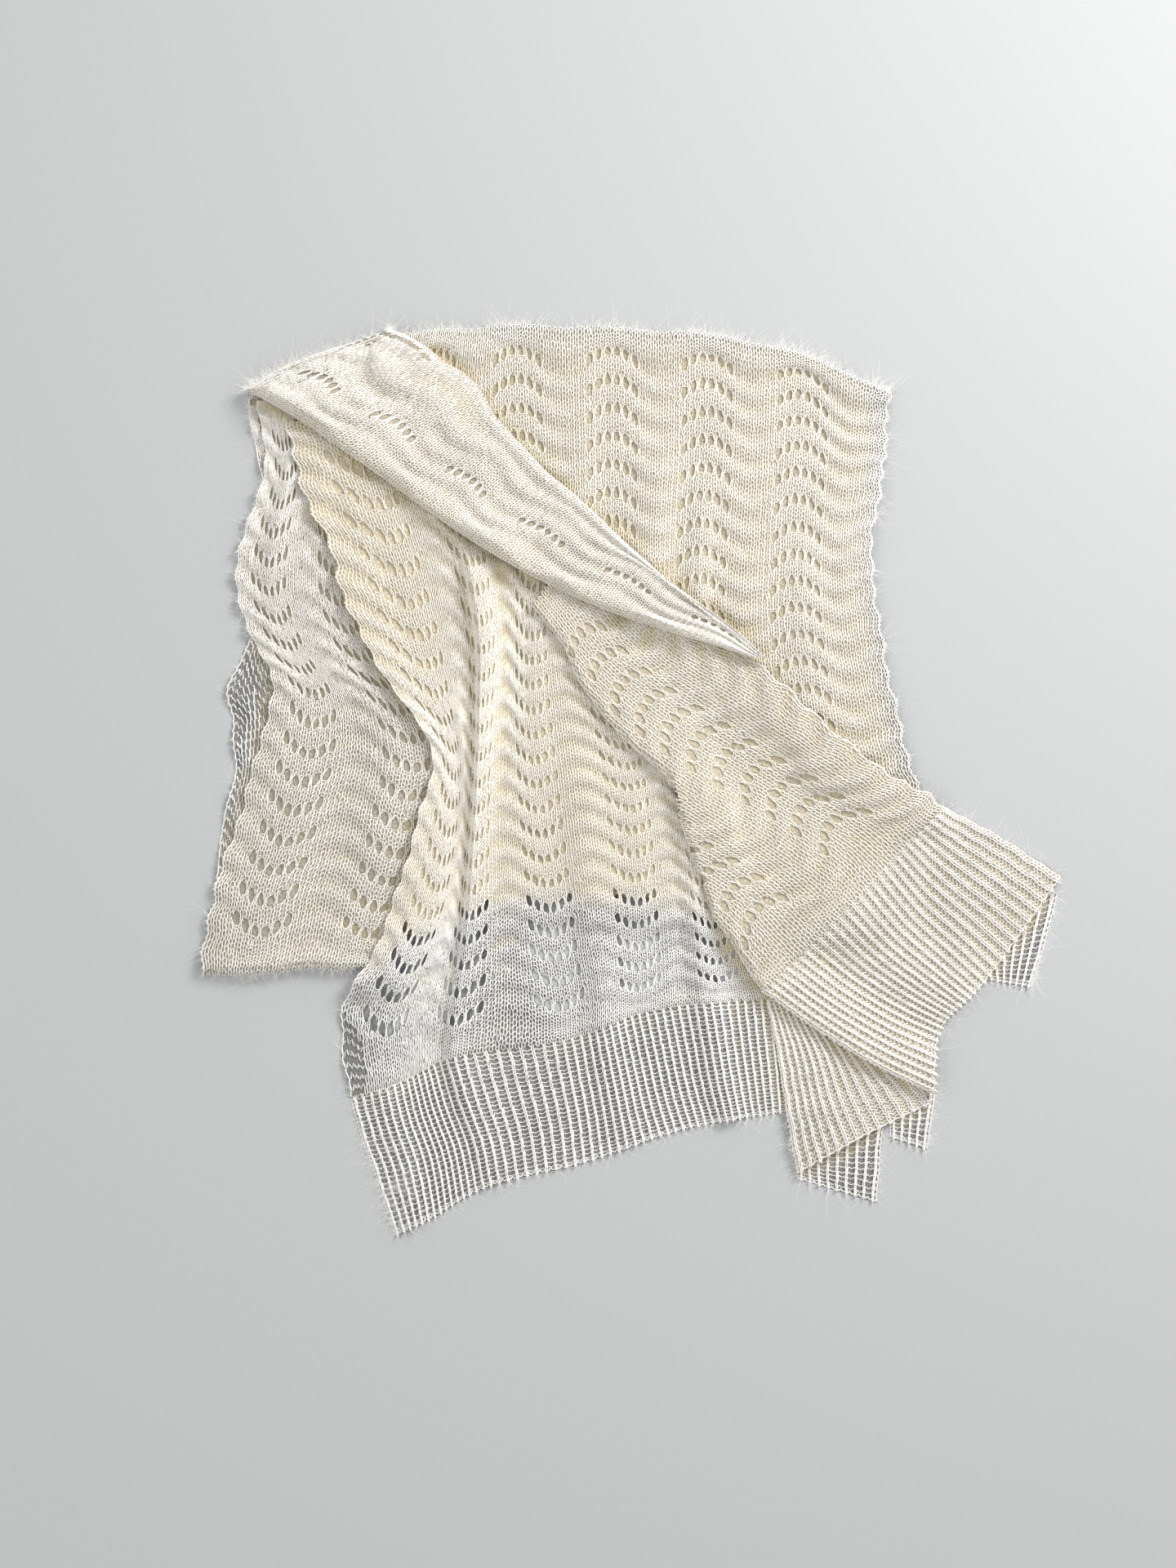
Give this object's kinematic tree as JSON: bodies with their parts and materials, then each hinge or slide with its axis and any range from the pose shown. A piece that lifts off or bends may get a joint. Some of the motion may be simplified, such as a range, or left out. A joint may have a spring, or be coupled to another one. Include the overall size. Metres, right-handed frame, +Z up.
{
  "type": "knitted lace scarf",
  "caption": "Wide knitted mohair lace scarf with scalloped eyelet rows and ribbed ends, folded over itself and lying flat.",
  "frame": {"origin": "on the surface it lies on, under the middle of the folded scarf's outline", "axes": "+Z up from the surface, +Y towards the folded top edge, +X towards the ribbed end that points right"},
  "size_m": [0.7378, 0.7812, 0.0312],
  "materials": {
    "folded_core": "soft matte brushed wool",
    "left_under_layer": "soft matte brushed wool",
    "left_panel": "soft matte brushed wool",
    "back_panel": "soft matte brushed wool",
    "center_panel": "soft matte brushed wool",
    "center_hem": "soft matte brushed wool",
    "lower_tail": "soft matte brushed wool",
    "middle_tail": "soft matte brushed wool",
    "upper_tail": "soft matte brushed wool",
    "hem_turn": "soft matte brushed wool",
    "wing_panel": "soft matte brushed wool",
    "wing_hem": "soft matte brushed wool",
    "band": "soft matte brushed wool"
  },
  "bodies": {
    "root": {"folded_core": "folded_core", "left_under_layer": "left_under_layer", "left_panel": "left_panel", "back_panel": "back_panel", "center_panel": "center_panel", "center_hem": "center_hem", "lower_tail": "lower_tail", "middle_tail": "middle_tail", "upper_tail": "upper_tail", "hem_turn": "hem_turn", "wing_panel": "wing_panel", "wing_hem": "wing_hem", "band": "band"}
  },
  "joints": []
}
